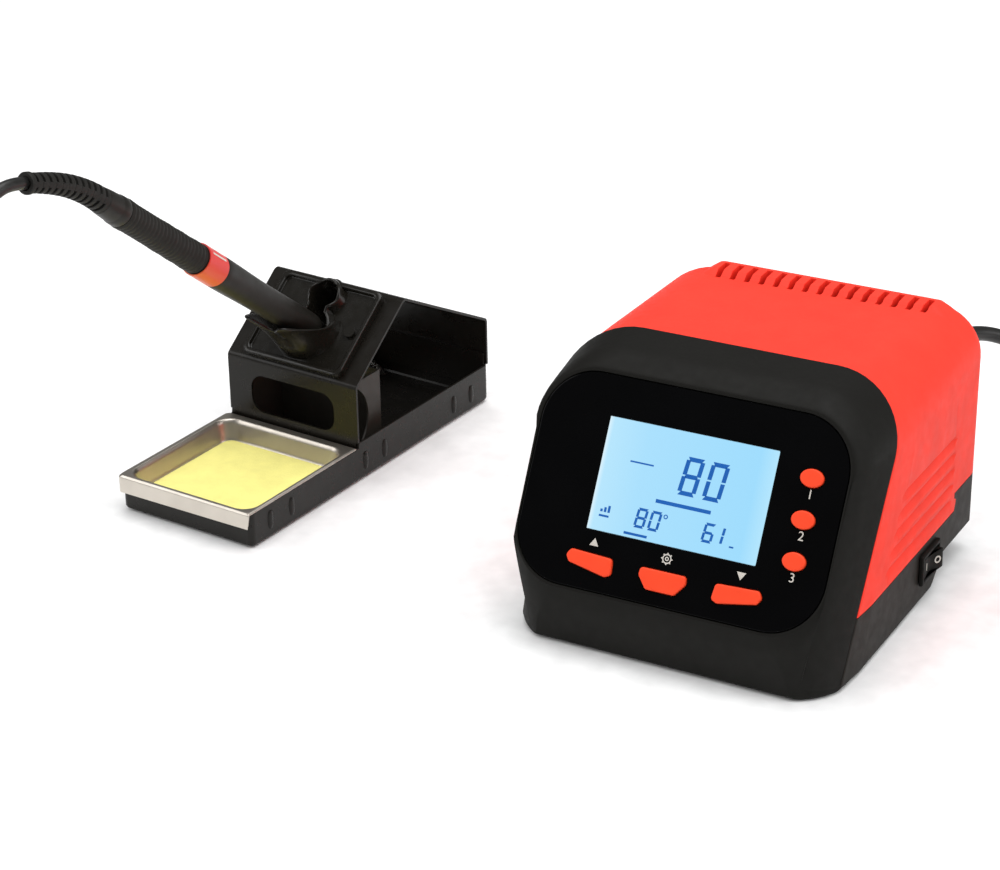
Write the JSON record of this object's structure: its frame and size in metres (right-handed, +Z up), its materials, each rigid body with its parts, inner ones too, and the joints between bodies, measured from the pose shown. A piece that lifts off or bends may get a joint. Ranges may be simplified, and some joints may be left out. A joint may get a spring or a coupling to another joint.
{
  "type": "soldering iron station",
  "caption": "Soldering station: leaning-front control unit with display and keys, sheet-metal iron holder with wet sponge tray, and a corded soldering iron.",
  "frame": {"origin": "on the bench under the middle of the station without its cords", "axes": "+X to the right as the user faces the control unit, +Y away from the user, +Z up"},
  "size_m": [0.6383, 0.367, 0.205],
  "materials": {
    "red_plastic": "fine satin moulded",
    "black_plastic": "fine matt grain",
    "gloss_panel": "polished",
    "lcd_window": "clear, lit from behind",
    "lcd_glass": "blue backlit display",
    "white_plastic": "smooth",
    "orange_plastic": "satin keys",
    "circuit_board": "green solder mask",
    "zinc_steel": "zinc plated",
    "core_steel": "laminated, varnished",
    "winding": "yellow tape over copper",
    "black_steel": "fine texture powder coat",
    "grey_steel": "plain sheet",
    "stainless": "bright pressed",
    "sponge": "open cell cellulose",
    "rubber": "matt",
    "handle_plastic": "smooth satin",
    "label_print": "red printed band",
    "chrome": "polished",
    "copper_tip": "iron plated",
    "ceramic": "ceramic",
    "cord_rubber": "soft sheath",
    "brass": "turned"
  },
  "bodies": {
    "station": {"front_bezel": "black_plastic", "upper_shell": "red_plastic", "lower_shell": "black_plastic", "shell_screws": "zinc_steel", "rear_panel": "black_plastic", "unit_feet": "rubber", "power_board": "circuit_board", "board_pillars": "white_plastic", "board_parts": "black_plastic", "transformer_core": "core_steel", "transformer_winding": "winding", "transformer_bracket": "zinc_steel", "switch_housing": "black_plastic", "mains_gland": "rubber", "iron_socket": "zinc_steel", "socket_nut": "zinc_steel", "fuse_holder": "black_plastic", "fuse": "lcd_window", "display_panel": "gloss_panel", "lcd_window": "lcd_window", "lcd_glass": "lcd_glass", "lcd_backlight": "white_plastic", "front_board": "circuit_board", "board_screws": "zinc_steel", "tact_switches": "black_plastic", "stand_base": "black_steel", "stand_housing": "black_steel", "inner_shield": "grey_steel", "iron_holder": "black_plastic", "holder_screws": "zinc_steel", "holder_nuts": "zinc_steel", "stand_feet": "rubber", "mains_cord": "cord_rubber", "mains_cord_coil": "cord_rubber", "mains_plug": "rubber", "plug_pins": "brass", "cord_ties": "black_plastic", "iron_cord_coil": "cord_rubber", "iron_connector": "black_plastic", "connector_ring": "zinc_steel"},
    "iron": {"handle_front": "handle_plastic", "label_band": "label_print", "grip_sleeve": "rubber", "core_tube": "handle_plastic", "rear_collar": "handle_plastic", "strain_relief": "rubber", "heater_barrel": "chrome", "heater_element": "ceramic", "barrel_nut": "chrome", "solder_tip": "copper_tip", "iron_cord": "cord_rubber"},
    "tray": {"sponge_tray": "stainless"},
    "sponge_pad": {"sponge": "sponge"},
    "power_rocker_body": {"power_rocker": "black_plastic"},
    "channel_button_1_body": {"channel_button_1": "orange_plastic"},
    "channel_button_2_body": {"channel_button_2": "orange_plastic"},
    "channel_button_3_body": {"channel_button_3": "orange_plastic"},
    "up_button_body": {"up_button": "orange_plastic"},
    "set_button_body": {"set_button": "orange_plastic"},
    "down_button_body": {"down_button": "orange_plastic"}
  },
  "joints": [
    {"name": "iron_draw", "type": "slide", "parent": "station", "child": "iron", "axis": [-0.0803, -0.7774, 0.6239], "range_m": [0, 0.085]},
    {"name": "tray_lift", "type": "slide", "parent": "station", "child": "tray", "axis": [0, 0, 1], "range_m": [0, 0.025]},
    {"name": "sponge_lift", "type": "slide", "parent": "tray", "child": "sponge_pad", "axis": [0, 0, 1], "range_m": [0, 0.015]},
    {"name": "channel_button_1_press", "type": "slide", "parent": "station", "child": "channel_button_1_body", "axis": [0, 0.8746, -0.4848], "range_m": [0, 0.0008], "stiffness_N_per_m": 600},
    {"name": "channel_button_2_press", "type": "slide", "parent": "station", "child": "channel_button_2_body", "axis": [0, 0.8746, -0.4848], "range_m": [0, 0.0008], "stiffness_N_per_m": 600},
    {"name": "channel_button_3_press", "type": "slide", "parent": "station", "child": "channel_button_3_body", "axis": [0, 0.8746, -0.4848], "range_m": [0, 0.0008], "stiffness_N_per_m": 600},
    {"name": "up_button_press", "type": "slide", "parent": "station", "child": "up_button_body", "axis": [0, 0.8746, -0.4848], "range_m": [0, 0.0008], "stiffness_N_per_m": 600},
    {"name": "set_button_press", "type": "slide", "parent": "station", "child": "set_button_body", "axis": [0, 0.8746, -0.4848], "range_m": [0, 0.0008], "stiffness_N_per_m": 600},
    {"name": "down_button_press", "type": "slide", "parent": "station", "child": "down_button_body", "axis": [0, 0.8746, -0.4848], "range_m": [0, 0.0008], "stiffness_N_per_m": 600},
    {"name": "power_rocker_throw", "type": "hinge", "parent": "station", "child": "power_rocker_body", "pos_m": [0.18255, 0.03604, 0.0182], "axis": [0, 0, 1], "range_deg": [0, 22]}
  ]
}
